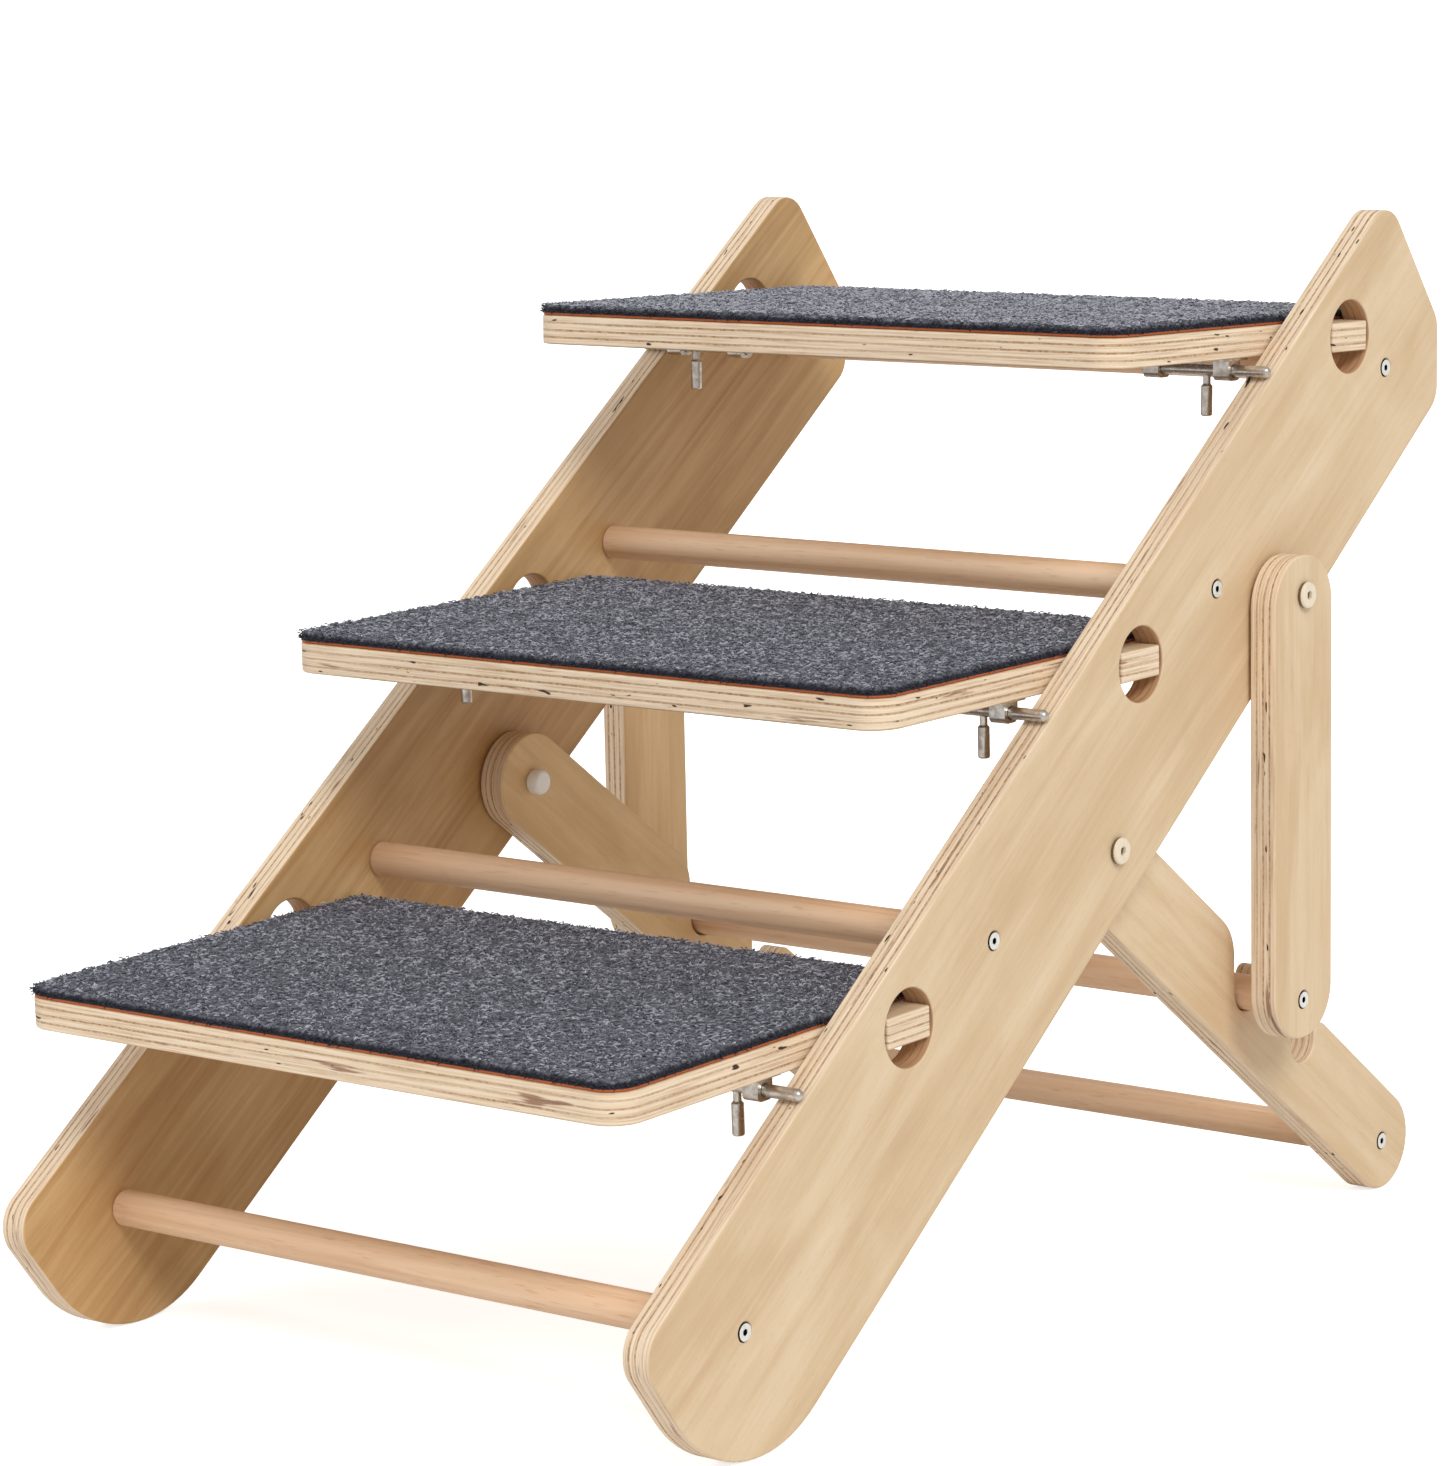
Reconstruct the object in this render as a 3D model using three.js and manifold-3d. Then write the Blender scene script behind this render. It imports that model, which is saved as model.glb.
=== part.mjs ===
// Folding dog ramp: three carpeted plywood treads between two plywood stringers, propped by rear legs.
// Millimetres, +Z up, the front of the steps faces -Y. The origin is on the floor, under the middle.
// A stringer's outline is drawn in its own frame: "along" runs up its slope from the foot end, and
// "across" runs square to that, from the front edge to the rear edge.
import * as THREE from 'three';
import { mergeVertices } from 'three/addons/utils/BufferGeometryUtils.js';
import Module from 'manifold-3d';

const wasm = await Module();
wasm.setup();

// Driving dimensions
const PLY = 15;
const GAP = 0.3;
const OUTER_WIDTH = 400;
const STEP_RUN = 191;
const STEP_RISE = 142.5;

const STRINGER_LENGTH = 772;
const STRINGER_WIDTH = 115;
const FOOT_FRONT_RADIUS = 18;
const FOOT_REAR_RADIUS = 69;
const TOP_RADII = [15, 15, 17];
const TOP_CHAMFER = 33;

const HOLE_RADIUS = 18.5;
const FIRST_HOLE = [224, 32];
const FOOT_DOWEL = [56.5, 48.5];
const TREAD_DOWEL_OFFSET = [71, 17.3];
const TOP_DOWEL_OFFSET = [17, 35.7];
const LEG_PIVOT = [393, 89.5];
const STRUT_PIVOT = [571, 87.4];

const DOWEL_RADIUS = 9;
const DOWEL_CHAMFER = 1;

const LEG_REACH = 340;
const LEG_HALF_WIDTH = 25.5;
const LEG_GAP = 1.2;
const SLOT_RADIUS = 11.3;
const SLOT_FORWARD = 1;
const SLOT_FLOOR_GAP = 0.4;
const SECOND_SLOT = [53.7, -37.6];
const SLOT_MOUTH_RADII = [25, 6];

const STRUT_REACH = 205.4;
const STRUT_HALF_WIDTH = 26.5;
const STRUT_END = 19.5;
const STRUT_CORNER = 25;
const STRUT_GAP = 1.8;

const TREAD_FRONT = 187.5;
const TREAD_REAR = 49;
const TREAD_SIDE_GAP = 1.2;
const TREAD_TILTS = [-1.2, -0.4, 1.5];
const TREAD_CORNERS = [16, 5];
const TAB_HALF_WIDTH = 16.2;
const CARPET_HEIGHT = 5.5;
const CARPET_INSET = 1;

const SCREW_HEAD_RADIUS = 4.2;
const SCREW_HEAD_DEPTH = 2.4;
const SCREW_SHANK_RADIUS = 2;
const SCREW_LENGTH = 38;
const SCREW_SOCKET = 1.7;
const SOCKET_DEPTH = 1.8;

const PIVOT_HEAD_RADIUS = 6.6;
const PIVOT_HEAD_HEIGHT = 3.4;
const PIVOT_SHANK_RADIUS = 3;
const PIVOT_SOCKET = 2.4;
const NUT_HEIGHT = 6.5;
const NUT_BORE = 4.5;
const WASHER_RADIUS = 8;

const ROD_RADIUS = 3;
const ROD_LENGTH = 74;
const ROD_DROP = 6.5;
const ROD_EDGE_GAP = 0.5;
const KNOB_INBOARD = 37;
const KNOB_RADIUS = 2.9;
const KNOB_NECK_RADIUS = 1.9;
const KNOB_DROP = 23;
const KNOB_NECK_DROP = 8;
const LATCH_SIZE = [56, 21, 1.2];
const LATCH_INBOARD = 20;
const GUIDE_LENGTH = 9;
const GUIDE_HALF_WIDTH = 5.4;
const GUIDE_WALL = 1.6;
const GUIDE_STATIONS = [5.5, 47];
const LATCH_HOLE_RADIUS = 1.6;
const LATCH_HOLES = [16, 38];

// Values worked out from them
const PITCH = Math.hypot(STEP_RUN, STEP_RISE);
const SLOPE = Math.atan2(STEP_RISE, STEP_RUN);
const OUTER = OUTER_WIDTH / 2;
const INNER = OUTER - PLY;
const LEG_OUTER = INNER - LEG_GAP;
const LEG_INNER = LEG_OUTER - PLY;
const STRUT_INNER = OUTER + STRUT_GAP;
const STRUT_OUTER = STRUT_INNER + PLY;
const STEPS = [1, 2, 3];
const SIDES = { left: -1, right: 1 };

// Place of the stringer's frame: its foot stands flat on the floor, and the object is centred on Y.
const FLOOR_ZERO = FOOT_REAR_RADIUS * (1 - Math.sin(SLOPE)) +
  (STRINGER_WIDTH - FOOT_REAR_RADIUS) * Math.cos(SLOPE);
const FOOT_FRONT_Y = FOOT_FRONT_RADIUS * (Math.cos(SLOPE) + Math.sin(SLOPE) - 1);
const TOP_REAR_Y = STRINGER_LENGTH * Math.cos(SLOPE) + (STRINGER_WIDTH - TOP_CHAMFER) * Math.sin(SLOPE);
const MIDDLE_Y = (FOOT_FRONT_Y + TOP_REAR_Y) / 2;

function slopePoint([along, across]) {
  const y = along * Math.cos(SLOPE) + across * Math.sin(SLOPE) - MIDDLE_Y;
  const z = along * Math.sin(SLOPE) - across * Math.cos(SLOPE) + FLOOR_ZERO;
  return [y, z];
}

function offset([along, across], [moreAlong, moreAcross]) {
  return [along + moreAlong, across + moreAcross];
}

const holeAt = (step) => [FIRST_HOLE[0] + (step - 1) * PITCH, FIRST_HOLE[1]];
const HOLES = STEPS.map((step) => slopePoint(holeAt(step)));
const DOWELS = {
  foot_dowel: slopePoint(FOOT_DOWEL),
  lower_dowel: slopePoint(offset(holeAt(1), TREAD_DOWEL_OFFSET)),
  middle_dowel: slopePoint(offset(holeAt(2), TREAD_DOWEL_OFFSET)),
  top_dowel: slopePoint(offset(holeAt(3), TOP_DOWEL_OFFSET)),
};
const LEG_AXIS = slopePoint(LEG_PIVOT);
const STRUT_AXIS = slopePoint(STRUT_PIVOT);
const LOCK_AXIS = [STRUT_AXIS[0], STRUT_AXIS[1] - STRUT_REACH];
const LEG_ANGLE = Math.asin((LEG_AXIS[1] - LEG_HALF_WIDTH) / LEG_REACH);
const LEG_DOWEL_AXIS = legPoint(LEG_REACH, 0);

const material = (color, roughness, metalness) =>
  new THREE.MeshStandardMaterial({ color, roughness, metalness });
const birch = material(0xe2cba3, 0.55, 0);
const beech = material(0xdcae85, 0.5, 0);
const carpetPile = material(0x5a5a62, 1, 0);
const zinc = material(0xc4c4c0, 0.35, 1);
const creamCap = material(0xe6d9b8, 0.4, 0);

const object = new THREE.Group();

function add(name, geometry, itsMaterial) {
  const mesh = new THREE.Mesh(geometry, itsMaterial);
  mesh.name = name;
  object.add(mesh);
}

// A point of a leg: "reach" runs down the leg from its pivot, "up" runs square to that.
function legPoint(reach, up) {
  const y = LEG_AXIS[0] + reach * Math.cos(LEG_ANGLE) + up * Math.sin(LEG_ANGLE);
  const z = LEG_AXIS[1] - reach * Math.sin(LEG_ANGLE) + up * Math.cos(LEG_ANGLE);
  return [y, z];
}

// A closed outline through corners [[x, y], radius], each corner rounded by its radius.
function roundedShape(corners) {
  const shape = new THREE.Shape();
  corners.forEach(([point, radius], i) => {
    const here = new THREE.Vector2(...point);
    const previous = new THREE.Vector2(...corners.at(i - 1)[0]);
    const next = new THREE.Vector2(...corners[(i + 1) % corners.length][0]);
    const back = previous.sub(here).normalize();
    const forth = next.sub(here).normalize();
    const half = Math.acos(THREE.MathUtils.clamp(back.dot(forth), -1, 1)) / 2;
    const reach = radius / Math.tan(half);
    const centre = back.clone().add(forth).normalize().multiplyScalar(radius / Math.sin(half)).add(here);
    const start = back.clone().multiplyScalar(reach).add(here).sub(centre);
    const end = forth.clone().multiplyScalar(reach).add(here).sub(centre);
    const clockwise = back.cross(forth) > 0;
    shape.absarc(centre.x, centre.y, radius, start.angle(), end.angle(), clockwise);
  });
  shape.closePath();
  return shape;
}

// A round hole drawn as two half circles, so that it gets twice the segments of one arc.
function roundHole([x, y], radius) {
  const path = new THREE.Path();
  path.absarc(x, y, radius, 0, Math.PI, false);
  path.absarc(x, y, radius, Math.PI, 2 * Math.PI, false);
  return path;
}

// A board cut to an outline in the Y-Z plane, from x = low to x = high.
function uprightBoard(shape, low, high, curveSegments = 10) {
  const settings = { depth: high - low, bevelEnabled: false, curveSegments };
  const axes = new THREE.Matrix4().makeBasis(
    new THREE.Vector3(0, 1, 0), new THREE.Vector3(0, 0, 1), new THREE.Vector3(1, 0, 0));
  return new THREE.ExtrudeGeometry(shape, settings).applyMatrix4(axes).translate(low, 0, 0);
}

// A board cut to an outline in the X-Y plane, with its underside at z = low.
function levelBoard(shape, low, thickness, curveSegments = 6) {
  const settings = { depth: thickness, bevelEnabled: false, curveSegments };
  return new THREE.ExtrudeGeometry(shape, settings).translate(0, 0, low);
}

// A turned piece on an axis along X through [y, z]. Its profile is [[radius, x], ...], with x counted
// outwards from "face" on the side given.
function turned(profile, [y, z], side, face, segments = 24) {
  const points = profile.map(([radius, x]) => new THREE.Vector2(radius, x));
  const geometry = new THREE.LatheGeometry(points, segments);
  return geometry.rotateZ(-side * Math.PI / 2).translate(side * face, y, z);
}

// Geometry to a manifold solid and back
function solidOf(geometry) {
  const bare = geometry.clone();
  bare.deleteAttribute('normal');
  bare.deleteAttribute('uv');
  const merged = mergeVertices(bare, 1e-4);
  const index = merged.index.array;
  const kept = [];
  for (let i = 0; i < index.length; i += 3) {
    const [a, b, c] = index.slice(i, i + 3);
    if (a !== b && b !== c && c !== a) kept.push(a, b, c);
  }
  const vertProperties = new Float32Array(merged.attributes.position.array);
  return new wasm.Manifold(new wasm.Mesh({ numProp: 3, vertProperties, triVerts: new Uint32Array(kept) }));
}

function geometryOf(solid) {
  const mesh = solid.getMesh();
  const geometry = new THREE.BufferGeometry();
  geometry.setAttribute('position', new THREE.BufferAttribute(new Float32Array(mesh.vertProperties), 3));
  geometry.setIndex(new THREE.BufferAttribute(new Uint32Array(mesh.triVerts), 1));
  geometry.computeVertexNormals();
  return geometry;
}

const cut = (geometry, cutters) =>
  geometryOf(cutters.reduce((solid, cutter) => solid.subtract(solidOf(cutter)), solidOf(geometry)));
const join = (geometries) =>
  geometryOf(geometries.slice(1).reduce((solid, more) => solid.add(solidOf(more)), solidOf(geometries[0])));

// Fasteners

// The countersunk screw's profile from its tip to its head, made larger all round by "grow".
function screwProfile(grow) {
  const shank = SCREW_SHANK_RADIUS + grow;
  const tip = -SCREW_LENGTH - grow;
  return [
    [0, tip], [shank, tip], [shank, -SCREW_HEAD_DEPTH - grow],
    [SCREW_HEAD_RADIUS + grow, 0], [SCREW_HEAD_RADIUS + grow, grow], [0, grow]];
}

const screwCutter = (place, side, face) => turned(screwProfile(GAP), place, side, face, 20);

function hexSocket(radius, depth, place, side, face) {
  const profile = [[0, -depth], [radius, -depth], [radius, 1], [0, 1]];
  return turned(profile, place, side, face, 6);
}

function screw(name, place, side, face) {
  const profile = screwProfile(0).filter(([radius, x], i) => i !== 4);
  const body = turned(profile, place, side, face, 20);
  add(name, cut(body, [hexSocket(SCREW_SOCKET, SOCKET_DEPTH, place, side, face)]), zinc);
}

// A pivot bolt: low round head with a hex socket outside, plain shank, cap nut inside.
function pivotBolt(name, place, side, headFace, nutFace) {
  const shankEnd = nutFace - headFace - GAP - NUT_BORE + 1;
  const profile = [
    [0, shankEnd], [PIVOT_SHANK_RADIUS, shankEnd], [PIVOT_SHANK_RADIUS, GAP], [PIVOT_HEAD_RADIUS, GAP],
    [PIVOT_HEAD_RADIUS, PIVOT_HEAD_HEIGHT - 0.7], [PIVOT_HEAD_RADIUS - 0.7, PIVOT_HEAD_HEIGHT],
    [0, PIVOT_HEAD_HEIGHT]];
  const body = turned(profile, place, side, headFace);
  const socket = hexSocket(PIVOT_SOCKET, SOCKET_DEPTH, place, side, headFace + PIVOT_HEAD_HEIGHT);
  add(`${name}_bolt`, cut(body, [socket]), creamCap);
  const bore = PIVOT_SHANK_RADIUS + GAP;
  const nut = [
    [0, -NUT_HEIGHT - GAP],
    [PIVOT_HEAD_RADIUS - 1.2, -NUT_HEIGHT - GAP],
    [PIVOT_HEAD_RADIUS, -NUT_HEIGHT + 1],
    [PIVOT_HEAD_RADIUS, -GAP], [bore, -GAP], [bore, -GAP - NUT_BORE], [0, -GAP - NUT_BORE]];
  add(`${name}_cap_nut`, turned(nut, place, side, nutFace), creamCap);
}

function washer(name, place, side, face, room) {
  const inner = PIVOT_SHANK_RADIUS + GAP;
  const [low, high] = [GAP, room - GAP];
  const ring = [[inner, low], [WASHER_RADIUS, low], [WASHER_RADIUS, high], [inner, high], [inner, low]];
  add(name, turned(ring, place, side, face), zinc);
}

// The frame

function stringerShape() {
  const chamferAlong = TOP_CHAMFER * Math.tan(SLOPE);
  const shape = roundedShape([
    [slopePoint([0, 0]), FOOT_FRONT_RADIUS],
    [slopePoint([0, STRINGER_WIDTH]), FOOT_REAR_RADIUS],
    [slopePoint([STRINGER_LENGTH - chamferAlong, STRINGER_WIDTH]), TOP_RADII[0]],
    [slopePoint([STRINGER_LENGTH, STRINGER_WIDTH - TOP_CHAMFER]), TOP_RADII[1]],
    [slopePoint([STRINGER_LENGTH, 0]), TOP_RADII[2]],
  ]);
  shape.holes = HOLES.map((hole) => roundHole(hole, HOLE_RADIUS));
  shape.holes.push(roundHole(LEG_AXIS, PIVOT_SHANK_RADIUS + GAP));
  shape.holes.push(roundHole(STRUT_AXIS, PIVOT_SHANK_RADIUS + GAP));
  return shape;
}

function stringer(sideName, side) {
  const [low, high] = side > 0 ? [INNER, OUTER] : [-OUTER, -INNER];
  const board = uprightBoard(stringerShape(), low, high);
  const cutters = Object.values(DOWELS).map((place) => screwCutter(place, side, OUTER));
  add(`${sideName}_stringer`, cut(board, cutters), birch);
}

// A dowel across the object between x = -reach and x = reach, bored for the screws set in at "face".
function dowel(name, place, reach, face) {
  const profile = [
    [0, -2 * reach], [DOWEL_RADIUS - DOWEL_CHAMFER, -2 * reach], [DOWEL_RADIUS, -2 * reach + DOWEL_CHAMFER],
    [DOWEL_RADIUS, -DOWEL_CHAMFER], [DOWEL_RADIUS - DOWEL_CHAMFER, 0], [0, 0]];
  const cutters = Object.values(SIDES).map((side) => screwCutter(place, side, face));
  add(name, cut(turned(profile, place, 1, reach, 32), cutters), beech);
}

function frame() {
  for (const [sideName, side] of Object.entries(SIDES)) {
    stringer(sideName, side);
    for (const [name, place] of Object.entries(DOWELS)) {
      screw(`${sideName}_${name}_screw`, place, side, OUTER);
    }
    pivotBolt(`${sideName}_leg_pivot`, LEG_AXIS, side, OUTER, LEG_INNER);
    washer(`${sideName}_leg_washer`, LEG_AXIS, side, LEG_OUTER, LEG_GAP);
    pivotBolt(`${sideName}_strut_pivot`, STRUT_AXIS, side, STRUT_OUTER, INNER);
    washer(`${sideName}_strut_washer`, STRUT_AXIS, side, OUTER, STRUT_GAP);
  }
  for (const [name, place] of Object.entries(DOWELS)) dowel(name, place, INNER - GAP, OUTER);
}

// The rear legs, with two upright locking slots in the upper edge

function legShape() {
  const h = LEG_HALF_WIDTH;
  const end = LEG_REACH + h;
  const upperEdge = (y) => LEG_AXIS[1] - (y - LEG_AXIS[0]) * Math.tan(LEG_ANGLE) + h / Math.cos(LEG_ANGLE);
  const slotFloor = LOCK_AXIS[1] - DOWEL_RADIUS - SLOT_FLOOR_GAP;
  const slots = [1, 0].flatMap((number) => {
    const middle = LOCK_AXIS[0] - SLOT_FORWARD + number * SECOND_SLOT[0];
    const floor = slotFloor + number * SECOND_SLOT[1];
    const [rear, front] = [middle + SLOT_RADIUS, middle - SLOT_RADIUS];
    return [
      [[rear, upperEdge(rear)], SLOT_MOUTH_RADII[1]],
      [[rear, floor], 0.99 * SLOT_RADIUS],
      [[front, floor], 0.99 * SLOT_RADIUS],
      [[front, upperEdge(front)], SLOT_MOUTH_RADII[number]],
    ];
  });
  const shape = roundedShape([
    [legPoint(-h, -h), 0.99 * h],
    [legPoint(end, -h), 0.99 * h],
    [legPoint(end, h), 0.99 * h],
    ...slots,
    [legPoint(-h, h), 0.99 * h],
  ]);
  shape.holes.push(roundHole(LEG_AXIS, PIVOT_SHANK_RADIUS + GAP));
  return shape;
}

function rearLegs() {
  for (const [sideName, side] of Object.entries(SIDES)) {
    const [low, high] = side > 0 ? [LEG_INNER, LEG_OUTER] : [-LEG_OUTER, -LEG_INNER];
    const board = uprightBoard(legShape(), low, high, 7);
    add(`${sideName}_rear_leg`, cut(board, [screwCutter(LEG_DOWEL_AXIS, side, LEG_OUTER)]), birch);
    screw(`${sideName}_leg_dowel_screw`, LEG_DOWEL_AXIS, side, LEG_OUTER);
  }
  dowel('leg_dowel', LEG_DOWEL_AXIS, LEG_INNER - GAP, LEG_OUTER);
}

// The struts, outside the stringers, and the locking dowel that they carry

function strutShape() {
  const [y, top] = STRUT_AXIS;
  const [front, rear] = [y - STRUT_HALF_WIDTH, y + STRUT_HALF_WIDTH];
  const [low, high] = [LOCK_AXIS[1] - STRUT_END, top + STRUT_END];
  const shape = roundedShape([[front, low], [rear, low], [rear, high], [front, high]].map(
    (corner) => [corner, STRUT_CORNER]));
  shape.holes.push(roundHole(STRUT_AXIS, PIVOT_SHANK_RADIUS + GAP));
  return shape;
}

function struts() {
  for (const [sideName, side] of Object.entries(SIDES)) {
    const [low, high] = side > 0 ? [STRUT_INNER, STRUT_OUTER] : [-STRUT_OUTER, -STRUT_INNER];
    const board = uprightBoard(strutShape(), low, high);
    add(`${sideName}_strut`, cut(board, [screwCutter(LOCK_AXIS, side, STRUT_OUTER)]), birch);
    screw(`${sideName}_locking_dowel_screw`, LOCK_AXIS, side, STRUT_OUTER);
  }
  dowel('locking_dowel', LOCK_AXIS, STRUT_INNER - GAP, STRUT_OUTER);
}

// The treads, each with its carpet and a barrel bolt under each end. A tread is drawn level, and then
// settles by a small tilt about its tabs, front edge up for a positive angle.

function treadShape([y]) {
  const side = INNER - TREAD_SIDE_GAP;
  const right = [
    [[side, y - TREAD_FRONT], TREAD_CORNERS[0]],
    [[side, y - TAB_HALF_WIDTH], 0.5],
    [[OUTER, y - TAB_HALF_WIDTH], 1.2],
    [[OUTER, y + TAB_HALF_WIDTH], 1.2],
    [[side, y + TAB_HALF_WIDTH], 0.5],
    [[side, y + TREAD_REAR], TREAD_CORNERS[1]],
  ];
  const left = right.map(([[x, itsY], radius]) => [[-x, itsY], radius]).reverse();
  return roundedShape([...right, ...left]);
}

function carpetShape([y]) {
  const side = INNER - TREAD_SIDE_GAP - CARPET_INSET;
  const [front, rear] = [y - TREAD_FRONT + CARPET_INSET, y + TREAD_REAR - CARPET_INSET];
  return roundedShape([
    [[-side, front], TREAD_CORNERS[0]], [[side, front], TREAD_CORNERS[0]],
    [[side, rear], TREAD_CORNERS[1]], [[-side, rear], TREAD_CORNERS[1]],
  ]);
}

// The bolt's rod lies under the board, just in front of the stringer's front edge once tilted.
function rodPlace([y, z], tilt) {
  const down = PLY / 2 + ROD_DROP;
  const clear = FIRST_HOLE[1] + ROD_RADIUS + ROD_EDGE_GAP;
  return [y - (clear + down * Math.cos(SLOPE + tilt)) / Math.sin(SLOPE + tilt), z - down];
}

function rod(place, side) {
  const round = Array.from({ length: 5 }, (_, i) => {
    const angle = (i * Math.PI) / 8;
    return [ROD_RADIUS * Math.cos(angle), ROD_RADIUS * (Math.sin(angle) - 1)];
  });
  round[4][0] = 0;
  const shaft = turned([[0, -ROD_LENGTH], [ROD_RADIUS, -ROD_LENGTH], ...round], place, side, OUTER, 20);
  const knobProfile = [
    [0, -KNOB_DROP], [KNOB_RADIUS - 0.6, -KNOB_DROP], [KNOB_RADIUS, -KNOB_DROP + 0.6],
    [KNOB_RADIUS, -KNOB_NECK_DROP], [KNOB_NECK_RADIUS, -KNOB_NECK_DROP + 1], [KNOB_NECK_RADIUS, 0], [0, 0]];
  const knob = new THREE.LatheGeometry(knobProfile.map(([radius, z]) => new THREE.Vector2(radius, z)), 20);
  knob.rotateX(Math.PI / 2).translate(side * (OUTER - KNOB_INBOARD), place[0], place[1]);
  return join([shaft, knob]);
}

// The base plate with two guides that the rod slides in
function latch(place, side, boardUnderside) {
  const [length, width, thickness] = LATCH_SIZE;
  const outerEnd = OUTER - LATCH_INBOARD;
  const plateTop = boardUnderside - GAP;
  const plate = new THREE.BoxGeometry(length, width, thickness);
  plate.translate(side * (outerEnd - length / 2), place[0], plateTop - thickness / 2);
  const [y, z] = place;
  const low = z - ROD_RADIUS - GAP - GUIDE_WALL;
  const guides = GUIDE_STATIONS.map((station) => {
    const shape = roundedShape([
      [[y - GUIDE_HALF_WIDTH, low], 3], [[y + GUIDE_HALF_WIDTH, low], 3],
      [[y + GUIDE_HALF_WIDTH, plateTop - thickness / 2], 0.2],
      [[y - GUIDE_HALF_WIDTH, plateTop - thickness / 2], 0.2],
    ]);
    const middle = side * (outerEnd - station);
    return uprightBoard(shape, middle - GUIDE_LENGTH / 2, middle + GUIDE_LENGTH / 2, 4);
  });
  const clearance = ROD_RADIUS + GAP;
  const bore = turned([[0, -100], [clearance, -100], [clearance, 0], [0, 0]], place, side, OUTER, 20);
  const holes = LATCH_HOLES.flatMap((station) => [-1, 1].map((edge) => {
    const hole = new THREE.CylinderGeometry(LATCH_HOLE_RADIUS, LATCH_HOLE_RADIUS, 4 * thickness, 14);
    const across = (width / 2 + GUIDE_HALF_WIDTH) / 2;
    return hole.rotateX(Math.PI / 2).translate(
      side * (outerEnd - station), y + edge * across, plateTop - thickness / 2);
  }));
  return cut(join([plate, ...guides]), [bore, ...holes]);
}

function tread(step) {
  const [y, z] = HOLES[step - 1];
  const tilt = THREE.MathUtils.degToRad(TREAD_TILTS[step - 1]);
  const place = rodPlace([y, z], tilt);
  const underside = z - PLY / 2;
  const addTilted = (name, geometry, itsMaterial) =>
    add(name, geometry.translate(0, -y, -z).rotateX(-tilt).translate(0, y, z), itsMaterial);
  addTilted(`tread_${step}`, levelBoard(treadShape([y, z]), underside, PLY), birch);
  const carpet = levelBoard(carpetShape([y, z]), underside + PLY + GAP, CARPET_HEIGHT);
  addTilted(`carpet_${step}`, carpet, carpetPile);
  for (const [sideName, side] of Object.entries(SIDES)) {
    addTilted(`${sideName}_bolt_rod_${step}`, rod(place, side), zinc);
    addTilted(`${sideName}_bolt_guide_${step}`, latch(place, side, underside), zinc);
  }
}

frame();
rearLegs();
struts();
STEPS.forEach(tread);

export default object;
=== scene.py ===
"""Looks of a folding dog ramp: birch plywood, beech dowels, needle-felt carpet, zinc barrel bolts."""

import math

import bpy
import numpy as np
from mathutils import Matrix, Vector


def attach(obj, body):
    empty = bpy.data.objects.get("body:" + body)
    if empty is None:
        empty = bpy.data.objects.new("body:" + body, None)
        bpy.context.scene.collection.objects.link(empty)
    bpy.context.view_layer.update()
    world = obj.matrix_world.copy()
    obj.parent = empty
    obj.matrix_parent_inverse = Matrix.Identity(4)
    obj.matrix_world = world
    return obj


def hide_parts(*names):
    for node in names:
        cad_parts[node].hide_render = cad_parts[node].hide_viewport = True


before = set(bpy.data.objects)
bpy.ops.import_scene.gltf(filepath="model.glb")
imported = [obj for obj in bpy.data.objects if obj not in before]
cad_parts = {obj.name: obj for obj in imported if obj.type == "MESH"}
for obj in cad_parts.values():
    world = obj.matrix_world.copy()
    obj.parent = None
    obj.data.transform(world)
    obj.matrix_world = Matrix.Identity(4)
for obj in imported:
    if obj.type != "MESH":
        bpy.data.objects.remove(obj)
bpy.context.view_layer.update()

# Sizes in millimetres. The front of the steps faces -Y, and the side boards slope up towards +Y.
MM = 0.001
PLY = 15.0
OUTER = 200.0
INNER = OUTER - PLY
# Small gaps: where pieces bear on each other, beside the treads and the legs, and beside the struts.
GAP, INSIDE_GAP, STRUT_GAP = 0.3, 1.2, 1.8
STEP_RUN, STEP_RISE = 191.0, 142.5
PITCH = math.hypot(STEP_RUN, STEP_RISE)
SLOPE = math.atan2(STEP_RISE, STEP_RUN)
LENGTH, WIDTH = 772.0, 115.0
FOOT_FRONT, FOOT_REAR = 18.0, 69.0
TOP_CHAMFER = 33.0
HOLE_RADIUS = 18.5
TILTS = [math.radians(degrees) for degrees in (-1.2, -0.4, 1.5)]
EDGE = 1.1
SCREW_ROOM = 4.7
PIVOT_ROOM = 3.3
DOWEL_RADIUS, DOWEL_EASE = 9.0, 1.2
PILOT_MOUTH, PILOT_RADIUS, PILOT_DEPTH = 4.6, 2.3, 5.0
LEG_REACH, LEG_HALF = 340.0, 25.5
LEG_FACES = (INNER - INSIDE_GAP - PLY, INNER - INSIDE_GAP)
SLOT_HALF, SLOT_PITCH, SLOT_DROP = 11.3, 53.7, 37.6
SLOT_SHIFT, SLOT_PLAY = 1.0, 0.4
SLOT_MOUTHS, SLOT_LIP = (25.0, 6.0), 6.0
STRUT_REACH, STRUT_HALF, STRUT_END = 205.4, 26.5, 19.5
STRUT_FACES = (OUTER + STRUT_GAP, OUTER + STRUT_GAP + PLY)
# An arc takes nearly all of a half width, so that two of them make a round end.
ROUND = 0.99
TREAD_FRONT, TREAD_REAR, TREAD_SIDE = 187.5, 49.0, INNER - INSIDE_GAP
TAB_HALF, TAB_END = 16.2, OUTER - 0.1
CARPET_HEIGHT, CARPET_CORNER, CARPET_CURL = 5.5, 14.0, 2.4
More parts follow.
